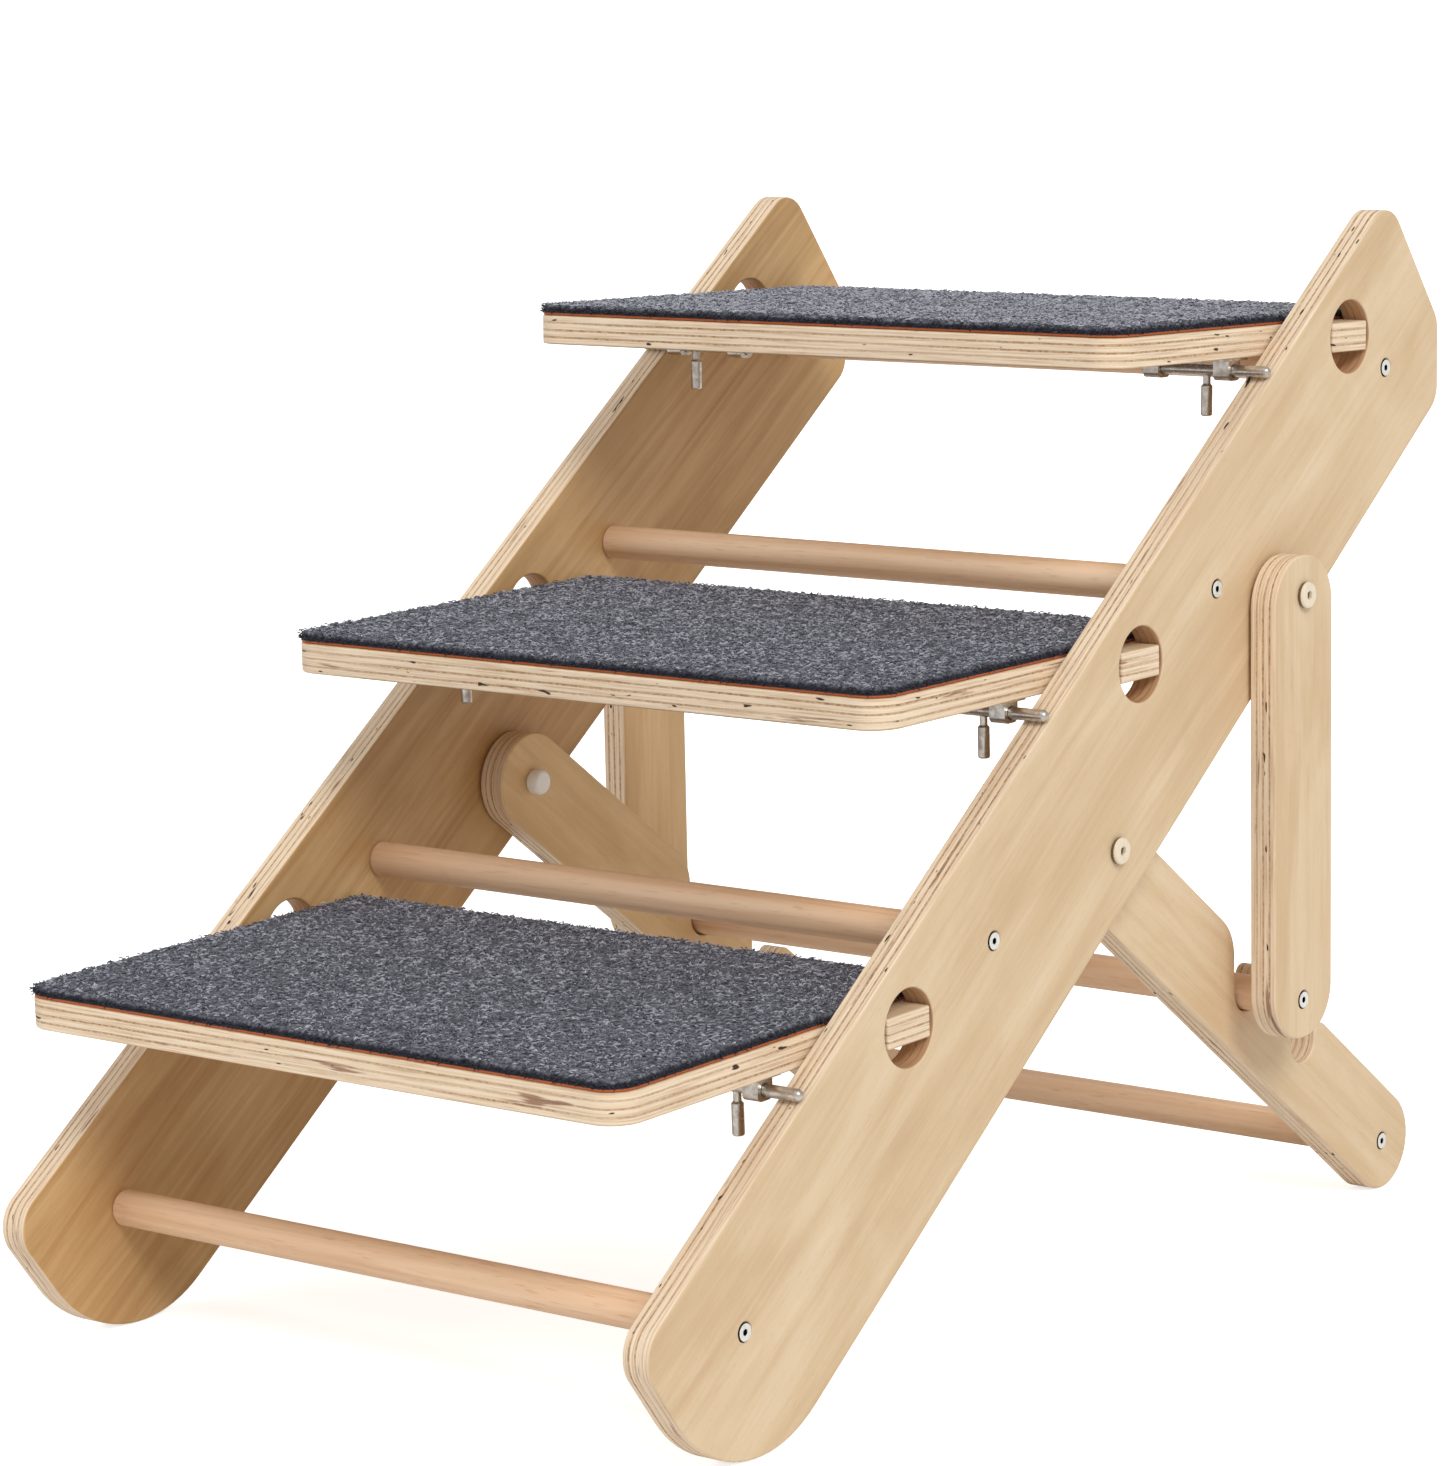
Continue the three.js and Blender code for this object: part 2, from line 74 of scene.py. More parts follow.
# How far the fibres stand above the carpet's ground, and past its rim.
NAP, FRINGE_REACH = 0.6, 0.4
FIBRE_THICKNESS, LYING_FIBRES, RIM_FIBRES = 0.36, 9000, 1600
# The carpets' mean grey, from the lowest tread up. 0.50 is the carpet's own grey, and the rise on the upper
# treads is painted light, for fibres seen at a grazing angle that catch more light.
CARPET_TONE_WITH_PAINTED_LIGHT = (0.50, 0.53, 0.68)
STRAND_RINGS, STRAND_SIDES = 4, 3
ROD_RADIUS, ROD_DROP, ROD_CLEARANCE = 3.0, 6.5, 0.5
LATCH_INBOARD, LATCH_WIDTH, LATCH_PLATE = 20.0, 21.0, 1.2
LATCH_HOLES, GUIDE_HALF_WIDTH = (16, 38), 5.4
SIDES = {"left": -1, "right": 1}

# The slope frame: u runs up the side board from its foot end, v square to it from its front edge.
ALONG = np.array([0, math.cos(SLOPE), math.sin(SLOPE)])
ACROSS = np.array([0, math.sin(SLOPE), -math.cos(SLOPE)])
front_most = FOOT_FRONT * (math.cos(SLOPE) + math.sin(SLOPE) - 1)
rear_most = LENGTH * math.cos(SLOPE) + (WIDTH - TOP_CHAMFER) * math.sin(SLOPE)
FLOOR_ZERO = FOOT_REAR * (1 - math.sin(SLOPE)) + (WIDTH - FOOT_REAR) * math.cos(SLOPE)
CORNER = np.array([0, -(front_most + rear_most) / 2, FLOOR_ZERO])


def slope_point(u, v):
    """The place of (u, v) of the slope frame, in the middle plane of the object."""
    return CORNER + u * ALONG + v * ACROSS


# Places on the side board, as (u, v).
HOLE_UV = [(224 + i * PITCH, 32.0) for i in range(3)]
DOWEL_UV = {
    "foot_dowel": (56.5, 48.5),
    "lower_dowel": (HOLE_UV[0][0] + 71, 49.3),
    "middle_dowel": (HOLE_UV[1][0] + 71, 49.3),
    "top_dowel": (HOLE_UV[2][0] + 17, 67.7),
}
LEG_UV, STRUT_UV = (393, 89.5), (571, 87.4)
HOLES = [slope_point(*uv) for uv in HOLE_UV]
LEG_AXIS, STRUT_AXIS = slope_point(*LEG_UV), slope_point(*STRUT_UV)
LOCK_AXIS = STRUT_AXIS - [0, 0, STRUT_REACH]
LEG_ANGLE = math.asin((LEG_AXIS[2] - LEG_HALF) / LEG_REACH)
LEG_DOWN = np.array([0, math.cos(LEG_ANGLE), -math.sin(LEG_ANGLE)])
LEG_UP = np.array([0, math.sin(LEG_ANGLE), math.cos(LEG_ANGLE)])
LEG_DOWEL = LEG_AXIS + LEG_REACH * LEG_DOWN


# ---------------------------------------------------------------- materials


class Finish:
    """A material made of a Principled shader and the nodes that feed it."""

    def __init__(self, name, **sockets):
        self.material = bpy.data.materials.new(name)
        self.material.use_nodes = True
        self.tree = self.material.node_tree
        self.shader = self.tree.nodes["Principled BSDF"]
        for socket, value in sockets.items():
            self.shader.inputs[socket.replace("_", " ")].default_value = value

    def node(self, kind, *inputs, out=0, **settings):
        """Adds a node. Inputs are given in order as (place, value or socket) pairs."""
        node = self.tree.nodes.new("ShaderNode" + kind)
        for key, value in settings.items():
            setattr(node, key, value)
        for place, value in inputs:
            if isinstance(value, bpy.types.NodeSocket):
                self.tree.links.new(value, node.inputs[place])
            else:
                node.inputs[place].default_value = value
        return node.outputs[out]

    def maths(self, operation, a, b=0.0, c=0.0):
        return self.node("Math", (0, a), (1, b), (2, c), operation=operation)

    def scaled(self, vector, scale):
        return self.node("VectorMath", (0, vector), (1, scale), operation="MULTIPLY")

    def noise(self, vector, scale, detail=4.0, roughness=0.55, distortion=0.0):
        inputs = (("Vector", vector), ("Scale", scale), ("Detail", detail),
                  ("Roughness", roughness), ("Distortion", distortion))
        return self.node("TexNoise", *inputs)

    def step(self, value, low, high, to_low=0.0, to_high=1.0):
        """A smooth step from to_low at low to to_high at high."""
        inputs = (("Value", value), (1, low), (2, high), (3, to_low), (4, to_high))
        return self.node("MapRange", *inputs, interpolation_type="SMOOTHSTEP")

    def mix(self, factor, a, b, blend="MIX"):
        inputs = (("Factor", factor), (6, a), (7, b))
        return self.node("Mix", *inputs, data_type="RGBA", blend_type=blend, out=2)

    def ramp(self, value, *stops):
        """Colours at places from 0 to 1 along the value."""
        socket = self.node("ValToRGB", (0, value))
        elements = socket.node.color_ramp.elements
        for i, (place, colour) in enumerate(stops):
            element = elements[i] if i < 2 else elements.new(place)
            element.position, element.color = place, (*colour, 1)
        return socket

    def feed(self, socket, value):
        self.tree.links.new(value, self.shader.inputs[socket])

    def bump(self, height, distance, strength=1.0):
        inputs = (("Height", height), ("Distance", distance), ("Strength", strength))
        self.feed("Normal", self.node("Bump", *inputs))


def birch_plywood(name, back_painted_light_low, back_painted_light_high):
    """Pale rotary-cut birch on the faces, and on the cut edges cream plies between thin brown ones.

    It reads the piece's attribute "cut": x along the face grain, y across it, z through the plies. The
    backs (z below 0) carry painted light: their colour is multiplied by a mottled tint from
    back_painted_light_low to back_painted_light_high, below 1 as painted shade where the backs stand in
    shade, above 1 as painted light where they are lit. The attribute "bored" is 1 on the wall of a bored
    hole, which gets painted shade.
    """
    wood = Finish(name, Roughness=0.52, IOR=1.45)
    cut = wood.node("Attribute", attribute_name="cut", out=1)
    through = wood.node("SeparateXYZ", (0, cut), out=2)
    clouds = wood.noise(wood.scaled(cut, (5, 16, 9)), 1.0, 3, 0.6, 1.2)
    figure = wood.noise(wood.scaled(cut, (2.2, 42, 9)), 1.0, 5, 0.62, 1.4)
    grain = wood.noise(wood.scaled(cut, (16, 330, 90)), 1.0, 3, 0.6, 0.3)
    pores = wood.noise(wood.scaled(cut, (240, 900, 300)), 1.0, 3, 0.6)
    blend = wood.maths("MULTIPLY_ADD", figure, 0.34, wood.maths("MULTIPLY", clouds, 0.48))
    blend = wood.maths("MULTIPLY_ADD", grain, 0.18, blend)
    face = wood.ramp(blend, (0.32, (0.58, 0.40, 0.235)), (0.45, (0.645, 0.47, 0.285)),
                     (0.55, (0.71, 0.545, 0.355)), (0.68, (0.775, 0.625, 0.445)))
    face = wood.mix(wood.step(pores, 0.56, 0.72, 0, 0.22), face, (0.50, 0.33, 0.18, 1))
    # Painted light on the backs: a multiplier below 1 paints shade, above 1 paints light.
    back = wood.step(through, -0.001, 0.001, 1, 0)
    painted_back_light = wood.ramp(wood.noise(wood.scaled(cut, (3, 60, 9)), 1.0, 5, 0.65, 1.8),
                        (0.35, back_painted_light_low), (0.62, back_painted_light_high))
    face = wood.mix(back, face, painted_back_light, "MULTIPLY")
    # Plies: how far it is to the nearest of three glue lines, which are a little wavy.
    wave = wood.noise(wood.scaled(cut, (22, 22, 0)), 1.0, 3)
    height = wood.maths("MULTIPLY_ADD", wave, 0.0009, wood.maths("SUBTRACT", through, 0.00045))
    turns = wood.maths("MULTIPLY_ADD", height, 4 / (PLY * MM), 0.5)
    off = wood.maths("ABSOLUTE", wood.maths("SUBTRACT", wood.maths("FRACT", turns), 0.5))
    fibres = wood.noise(wood.scaled(cut, (24, 24, 1100)), 1.0, 3, 0.6)
    pale = wood.ramp(fibres, (0.3, (0.60, 0.42, 0.27)), (0.5, (0.80, 0.635, 0.46)),
                     (0.7, (0.88, 0.745, 0.58)))
    ends = wood.noise(wood.scaled(cut, (420, 420, 700)), 1.0, 3, 0.7)
    brown = wood.ramp(ends, (0.35, (0.30, 0.16, 0.075)), (0.6, (0.60, 0.40, 0.23)))
    inside = wood.step(wood.maths("ABSOLUTE", through), 0.0058, 0.0063, 1, 0)
    strength = wood.step(wood.noise(wood.scaled(cut, (7, 7, 110)), 1.0, 2), 0.36, 0.60, 0.40, 1.0)
    line = wood.maths("MULTIPLY", wood.step(off, 0.08, 0.19, 1, 0), inside)
    edge = wood.mix(wood.maths("MULTIPLY", line, strength), pale, brown)
    torn = wood.noise(wood.scaled(cut, (17, 17, 210)), 1.0, 3, 0.55)
    tear = wood.maths("MULTIPLY", wood.step(torn, 0.64, 0.71, 0, 0.8), inside)
    edge = wood.mix(tear, edge, (0.24, 0.10, 0.05, 1))
    voids = wood.noise(wood.scaled(cut, (95, 95, 330)), 1.0, 1)
    gap = wood.maths("MULTIPLY", wood.step(voids, 0.725, 0.755), inside)
    edge = wood.mix(gap, edge, (0.05, 0.02, 0.012, 1))
    bored = wood.node("Attribute", attribute_name="bored", out=2)
    # Painted shade, warmed by bounce light: the walls of the bored holes are painted darker orange-brown.
    edge = wood.mix(wood.maths("MULTIPLY", bored, 0.75), edge, (0.46, 0.235, 0.105, 1))
    on_edge = wood.step(wood.maths("ABSOLUTE", through), 0.00685, 0.00725, 1, 0)
    wood.feed("Base Color", wood.mix(on_edge, face, edge))
    hollow = wood.maths("ADD", wood.maths("MULTIPLY", line, 0.8), wood.maths("MULTIPLY", gap, 3))
    wood.bump(wood.maths("SUBTRACT", grain, wood.maths("MULTIPLY", hollow, on_edge)), 0.00022, 0.7)
    return wood.material


def beech():
    """Pinkish turned beech, with short dark flecks along the grain."""
    wood = Finish("beech", Roughness=0.45, IOR=1.45)
    cut = wood.node("Attribute", attribute_name="cut", out=1)
    figure = wood.noise(wood.scaled(cut, (3, 110, 110)), 1.0, 4, 0.6, 0.5)
    flecks = wood.noise(wood.scaled(cut, (70, 900, 900)), 1.0, 2, 0.5)
    tone = wood.ramp(figure, (0.3, (0.68, 0.42, 0.245)), (0.5, (0.83, 0.57, 0.375)),
                     (0.7, (0.90, 0.67, 0.47)))
    tone = wood.mix(wood.step(flecks, 0.58, 0.72, 0, 0.35), tone, (0.52, 0.29, 0.15, 1))
    wood.feed("Base Color", tone)
    wood.bump(flecks, 0.00012, 0.6)
    return wood.material


def metal(name, colour, roughness, wear, head=None):
    """Plated or bare steel with a slightly uneven finish.

    A screw whose head is at a distance "head" from the middle plane has painted shade below that head: its
    socket is painted near black.
    """
    steel = Finish(name, Metallic=1.0)
    place = steel.node("TexCoord", out=3)
    cloud = steel.noise(place, 260, 4, 0.6)
    tone = steel.mix(steel.step(cloud, 0.35, 0.7, 0, 0.6), (*colour, 1), (*wear, 1))
    if head:
        depth = steel.maths("ABSOLUTE", steel.node("SeparateXYZ", (0, place)))
        # Painted shade: near black in the socket's recess, below the head's face.
        painted_socket_shade = steel.step(depth, (head - 0.7) * MM, (head - 0.2) * MM, 1, 0)
        tone = steel.mix(painted_socket_shade, tone, (0.02, 0.03, 0.035, 1))
    steel.feed("Base Color", tone)
    steel.feed("Roughness", steel.step(cloud, 0.3, 0.75, roughness - 0.08, roughness + 0.12))
    steel.bump(steel.noise(place, 1500, 3), 0.00003, 0.5)
    return steel.material


def enamel(name, colour, worn, socket=None):
    """Enamel on the pivot heads and cap nuts, a little rubbed.

    Nearer to the middle plane than the distance "socket" it is painted dark brown: painted shade in the
    heads' sockets.
    """
    paint = Finish(name, Roughness=0.34, Coat_Weight=0.25, Coat_Roughness=0.2)
    place = paint.node("TexCoord", out=3)
    rubbed = paint.noise(place, 420, 4, 0.6)
    tone = paint.mix(paint.step(rubbed, 0.52, 0.75, 0, 0.5), (*colour, 1), (*worn, 1))
    if socket:
        depth = paint.maths("ABSOLUTE", paint.node("SeparateXYZ", (0, place)))
        # Painted shade in the socket's recess, below the head's face.
        painted_socket_shade = paint.step(depth, socket * MM, (socket + 0.5) * MM, 1, 0)
        tone = paint.mix(painted_socket_shade, tone, (0.13, 0.08, 0.04, 1))
    paint.feed("Base Color", tone)
    paint.bump(rubbed, 0.00005, 0.4)
    return paint.material


def felt():
    """The dense dark ground of the carpet, seen between its fibres, with painted shade, near black, on its
    rolled rim and sides, and a line of glue at its foot.

    The attribute "height" is the height above the board, in millimetres.
    """
    cloth = Finish("carpet_ground", Roughness=0.95)
    place = cloth.node("TexCoord", out=3)
    blot = cloth.noise(place, 420, 4, 0.7)
    tone = cloth.ramp(blot, (0.32, (0.016, 0.018, 0.032)), (0.5, (0.085, 0.088, 0.112)),
                      (0.68, (0.25, 0.255, 0.30)))
    height = cloth.node("Attribute", attribute_name="height", out=2)
    # Painted shade: below 2.6 to 4.2 mm, on the rolled rim and the walls, the ground is near black.
    tone = cloth.mix(cloth.step(height, 2.6, 4.2, 1, 0), tone, (0.012, 0.013, 0.022, 1))
    cloth.feed("Base Color", cloth.mix(cloth.step(height, 0.7, 1.3, 1, 0), tone, (0.55, 0.14, 0.045, 1)))
    cloth.bump(blot, 0.0006, 0.9)
    return cloth.material


def fibre(name, sheen):
    """The carpet's fibres: each has its own grey, from the attribute "shade"."""
    thread = Finish(name, Roughness=0.85, Sheen_Weight=sheen, Sheen_Roughness=0.45,
                    Sheen_Tint=(0.84, 0.88, 1.0, 1))
    shade = thread.node("Attribute", attribute_name="shade", out=2)
    tone = thread.ramp(shade, (0.0, (0.011, 0.012, 0.024)), (0.33, (0.050, 0.051, 0.072)),
                       (0.62, (0.165, 0.166, 0.205)), (1.0, (0.50, 0.50, 0.57)))
    place = thread.node("TexCoord", out=3)
    mottle = thread.noise(place, 900, 3)
    tone = thread.mix(thread.step(mottle, 0.45, 0.7, 0, 0.4), tone, (0.06, 0.06, 0.075, 1))
    thread.feed("Base Color", tone)
    return thread.material


# Stringers and treads get painted shade on their backs, legs and struts painted light on theirs.
BIRCH = birch_plywood("birch_plywood", (0.76, 0.59, 0.38), (0.93, 0.80, 0.60))
LEG_BIRCH = birch_plywood("birch_painted_light_backs", (1.10, 1.02, 0.84), (1.18, 1.10, 0.92))
BEECH = beech()
ZINC = metal("zinc", (0.88, 0.89, 0.87), 0.34, (0.68, 0.66, 0.62))
SCREW_ZINC = {kind: metal(kind + "_screw_zinc", (0.95, 0.96, 0.94), 0.38, (0.80, 0.79, 0.76), head)
              for kind, head in (("frame", OUTER), ("leg", LEG_FACES[1]), ("strut", STRUT_FACES[1]))}
BOLT_STEEL = metal("bolt_steel", (0.66, 0.63, 0.59), 0.32, (0.36, 0.30, 0.25))
CREAM = {kind: enamel(kind + "_head_enamel", (0.80, 0.70, 0.54), (0.58, 0.45, 0.30), face + 1.6)
         for kind, face in (("leg", OUTER), ("strut", STRUT_FACES[1]))}
WHITE = enamel("white_enamel", (0.96, 0.96, 0.95), (0.86, 0.85, 0.82))
FELT, FIBRE, FRINGE = felt(), fibre("carpet_fibre", 0.8), fibre("carpet_fringe", 0.0)


# ---------------------------------------------------------------- shapes


def show(name, mesh, material, body, stands_for=()):
    """Puts a mesh in the scene as a piece that rides on a body."""
    piece = bpy.data.objects.new(name, mesh)
    bpy.context.scene.collection.objects.link(piece)
    mesh.materials.append(material)
    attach(piece, body)
    if stands_for:
        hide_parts(*stands_for)
    return piece


def rounded(corners):
    """Points round an outline whose corners (x, y, radius) are each replaced by an arc.

    The arc's centre lies on the corner's bisector, at radius / sin(half the corner's angle).
    """
    points = np.array([corner[:2] for corner in corners], float)
    loop = []
    for i, (x, y, radius) in enumerate(corners):
        here = np.array([x, y], float)
        back, forth = points[i - 1] - here, points[(i + 1) % len(corners)] - here
        back, forth = back / np.linalg.norm(back), forth / np.linalg.norm(forth)
        half = math.acos(np.clip(back @ forth, -1, 1)) / 2
        bisector = (back + forth) / np.linalg.norm(back + forth)
        centre = here + bisector * radius / math.sin(half)
        start = math.atan2(*(here + back * radius / math.tan(half) - centre)[::-1])
        sweep = math.pi - 2 * half
        turn = 1 if back[0] * forth[1] - back[1] * forth[0] < 0 else -1
        steps = max(3, int(math.degrees(sweep) / 4))
        angles = start + turn * sweep * np.linspace(0, 1, steps)
        loop.append(centre + radius * np.stack([np.cos(angles), np.sin(angles)], 1))
    return np.concatenate(loop)


def circle(centre, radius, count=56):
    angles = np.linspace(0, 2 * math.pi, count, endpoint=False)
    return np.asarray(centre) + radius * np.stack([np.cos(angles), np.sin(angles)], 1)


def set_cut(mesh, cut):
    cuts = mesh.attributes.new("cut", "FLOAT_VECTOR", "POINT")
    cuts.data.foreach_set("vector", cut.astype(np.float32).ravel())


def set_values(mesh, name, values):
    """Gives a mesh one number per vertex, as an attribute."""
    mesh.attributes.new(name, "FLOAT", "POINT").data.foreach_set("value", values.astype(np.float32))


def smooth(mesh):
    mesh.polygons.foreach_set("use_smooth", np.ones(len(mesh.polygons), bool))
    mesh.update()


board_count = 0


def board(name, loops, axes, low, high, body, bored=()):
    """A plywood board: its outline and holes, filled, carried through its thickness, edges rounded.

    axes = (origin, u, v, w): a point (a, b, c) of the board lies at origin + a u + b v + c w, with c
    from low to high. The attribute "cut" keeps (a, b, c - middle) in metres for the wood, and "bored"
    marks the walls of the holes whose middles are given.
    """
    global board_count
    board_count += 1
    curve = bpy.data.curves.new(name, "CURVE")
    curve.dimensions, curve.fill_mode = "2D", "BOTH"
    curve.extrude = ((high - low) / 2 - EDGE) * MM
    curve.bevel_depth, curve.bevel_resolution = EDGE * MM, 3
    curve.offset = -EDGE * MM
    for loop in loops:
        spline = curve.splines.new("POLY")
        spline.points.add(len(loop) - 1)
        flat = np.concatenate([loop * MM, np.zeros((len(loop), 1)), np.ones((len(loop), 1))], 1)
        spline.points.foreach_set("co", flat.ravel())
        spline.use_cyclic_u = True
    shape = bpy.data.objects.new(name + "_outline", curve)
    bpy.context.scene.collection.objects.link(shape)
    mesh = bpy.data.meshes.new_from_object(shape.evaluated_get(bpy.context.evaluated_depsgraph_get()))
    bpy.data.objects.remove(shape)
    cut = np.zeros(len(mesh.vertices) * 3)
    mesh.vertices.foreach_get("co", cut)
    cut = cut.reshape(-1, 3)
    origin, u, v, w = (np.asarray(axis, float) for axis in axes)
    middle = origin * MM + w * (low + high) / 2 * MM
    mesh.vertices.foreach_set("co", (middle + cut @ np.stack([u, v, w])).ravel())
    set_cut(mesh, cut + [board_count * 1.37, board_count * 0.29, 0])
    on_wall = np.zeros(len(cut))
    for hole in bored:
        on_wall[np.linalg.norm(cut[:, :2] / MM - hole, axis=1) < HOLE_RADIUS + 0.7] = 1
    set_values(mesh, "bored", on_wall)
    if np.dot(np.cross(u, v), w) < 0:
        mesh.flip_normals()
    mesh.name = name
    mesh.materials.clear()
    smooth(mesh)
    wood = LEG_BIRCH if body in ("rear_legs", "struts") else BIRCH
    piece = show(name + "_wood", mesh, wood, body, [name])
    weld = piece.modifiers.new("weld", "WELD")
    weld.merge_threshold = 1e-5
    normals = piece.modifiers.new("flat faces", "WEIGHTED_NORMAL")
    normals.weight = 100


def lathe(rings, around=48):
    """Vertices and quads of a profile [(x, radius), ...] turned about the X axis.

    Vertex (i, j) is (x_i, r_i cos a_j, r_i sin a_j). A profile starts and ends a micrometre off the axis.
    """
    x, r = np.array(rings, float).T
    angles = np.linspace(0, 2 * math.pi, around, endpoint=False)
    y, z = np.outer(r, np.cos(angles)), np.outer(r, np.sin(angles))
    grid = np.stack([np.repeat(x, around), y.ravel(), z.ravel()], 1)
    i, j = np.meshgrid(np.arange(len(x) - 1), np.arange(around), indexing="ij")
    k = (j + 1) % around
    here, ahead = i * around, (i + 1) * around
    quads = np.stack([here + j, ahead + j, ahead + k, here + k], -1).reshape(-1, 4)
    return grid, quads[:, ::-1]


def mesh_of(name, vertices, faces):
    mesh = bpy.data.meshes.new(name)
    mesh.from_pydata(vertices, [], faces.tolist())
    return mesh


def dowel(name, axis, reach, body):
    """A beech dowel along X, turned, with eased ends and a short blind pilot hole in each for its screw."""
    shoulder, belly = reach - DOWEL_EASE, DOWEL_RADIUS - DOWEL_EASE
    arc = [(shoulder + DOWEL_EASE * math.sin(a), belly + DOWEL_EASE * math.cos(a))
           for a in np.linspace(0, math.pi / 2, 5)]
    mouth, bottom = reach - PILOT_DEPTH / 2, reach - PILOT_DEPTH
    end = [*arc, (reach, PILOT_MOUTH), (mouth, PILOT_RADIUS), (bottom, PILOT_RADIUS), (bottom, 0.001)]
    rings = [(-x, r) for x, r in end[::-1]] + [(0, DOWEL_RADIUS)] + end
    vertices, faces = lathe(rings)
    mesh = mesh_of(name, (vertices + [0, axis[1], axis[2]]) * MM, faces)
    set_cut(mesh, (vertices + [axis[1] * 3, 0, 0]) * MM)
    smooth(mesh)
    mesh.set_sharp_from_angle(angle=math.radians(40))
    show(name + "_turned", mesh, BEECH, body, [name])


# ---------------------------------------------------------------- side boards, legs, struts, dowels


def stringer_loops():
    chamfer = TOP_CHAMFER * math.tan(SLOPE)
    outline = rounded([(0, 0, FOOT_FRONT), (LENGTH, 0, 17), (LENGTH, WIDTH - TOP_CHAMFER, 15),
                       (LENGTH - chamfer, WIDTH, 15), (0, WIDTH, FOOT_REAR)])
    holes = [circle(uv, HOLE_RADIUS, 72) for uv in HOLE_UV]
    holes += [circle(uv, SCREW_ROOM) for uv in DOWEL_UV.values()]
    return [outline, *holes, circle(LEG_UV, PIVOT_ROOM), circle(STRUT_UV, PIVOT_ROOM)]


def leg_loops():
    """The leg in its own frame: x down the leg from its pivot, y square to it and up.

    Its two locking slots are upright in the world, so their corners are turned into that frame.
    """
    h, end, arc = LEG_HALF, LEG_REACH + LEG_HALF, ROUND * LEG_HALF

    def local(y, z):
        offset = np.array([0, y, z]) - LEG_AXIS
        return offset @ LEG_DOWN, offset @ LEG_UP

    def top(y):
        return LEG_AXIS[2] - (y - LEG_AXIS[1]) * math.tan(LEG_ANGLE) + h / math.cos(LEG_ANGLE)

    slots = []
    for number, mouth in enumerate(SLOT_MOUTHS):
        middle = LOCK_AXIS[1] - SLOT_SHIFT + number * SLOT_PITCH
        floor = LOCK_AXIS[2] - DOWEL_RADIUS - SLOT_PLAY - number * SLOT_DROP
        front, rear, radius = middle - SLOT_HALF, middle + SLOT_HALF, ROUND * SLOT_HALF
        slots += [(*local(front, top(front)), mouth), (*local(front, floor), radius),
                  (*local(rear, floor), radius), (*local(rear, top(rear)), SLOT_LIP)]
    corners = [(-h, h, arc), *slots, (end, h, arc), (end, -h, arc), (-h, -h, arc)]
    return [rounded(corners), circle((0, 0), PIVOT_ROOM), circle((LEG_REACH, 0), SCREW_ROOM)]


def strut_loops():
    """The strut in its own frame: x down from its pivot, y towards the rear."""
    low, high = STRUT_REACH + STRUT_END, -STRUT_END
    corners = [(high, -STRUT_HALF), (high, STRUT_HALF), (low, STRUT_HALF), (low, -STRUT_HALF)]
    return [rounded([(*corner, 25.0) for corner in corners]), circle((0, 0), PIVOT_ROOM),
            circle((STRUT_REACH, 0), SCREW_ROOM)]


for side_name, side in SIDES.items():
    out = [side, 0, 0]
    slope_axes = (CORNER, ALONG, ACROSS, out)
    leg_axes = (LEG_AXIS, LEG_DOWN, LEG_UP, out)
    strut_axes = (STRUT_AXIS, [0, 0, -1], [0, 1, 0], out)
    board(f"{side_name}_stringer", stringer_loops(), slope_axes, INNER, OUTER, "frame", HOLE_UV)
    board(f"{side_name}_rear_leg", leg_loops(), leg_axes, *LEG_FACES, "rear_legs")
    board(f"{side_name}_strut", strut_loops(), strut_axes, *STRUT_FACES, "struts")

for dowel_name, uv in DOWEL_UV.items():
    dowel(dowel_name, slope_point(*uv), INNER - GAP, "frame")
dowel("leg_dowel", LEG_DOWEL, LEG_FACES[0] - GAP, "rear_legs")
dowel("locking_dowel", LOCK_AXIS, STRUT_FACES[0] - GAP, "struts")


# ---------------------------------------------------------------- treads and carpets


def tread_axes(i):
    """Origin at the tabs, x to the right, y to the rear, z up, with the tread's small tilt."""
    tilt = TILTS[i]
    rear = np.array([0, math.cos(tilt), -math.sin(tilt)])
    up = np.array([0, math.sin(tilt), math.cos(tilt)])
    return HOLES[i], np.array([1.0, 0, 0]), rear, up


def tread_loops():
    right = [(TREAD_SIDE, -TREAD_FRONT, 16), (TREAD_SIDE, -TAB_HALF, 0.6), (TAB_END, -TAB_HALF, 1.3),
             (TAB_END, TAB_HALF, 1.3), (TREAD_SIDE, TAB_HALF, 0.6), (TREAD_SIDE, TREAD_REAR, 5)]
    return [rounded(right + [(-x, y, radius) for x, y, radius in right[::-1]])]


CARPET_X = TREAD_SIDE - 1.0
CARPET_Y = (-TREAD_FRONT + 0.6, TREAD_REAR - 1.0)
CARPET_Z = PLY / 2 + GAP


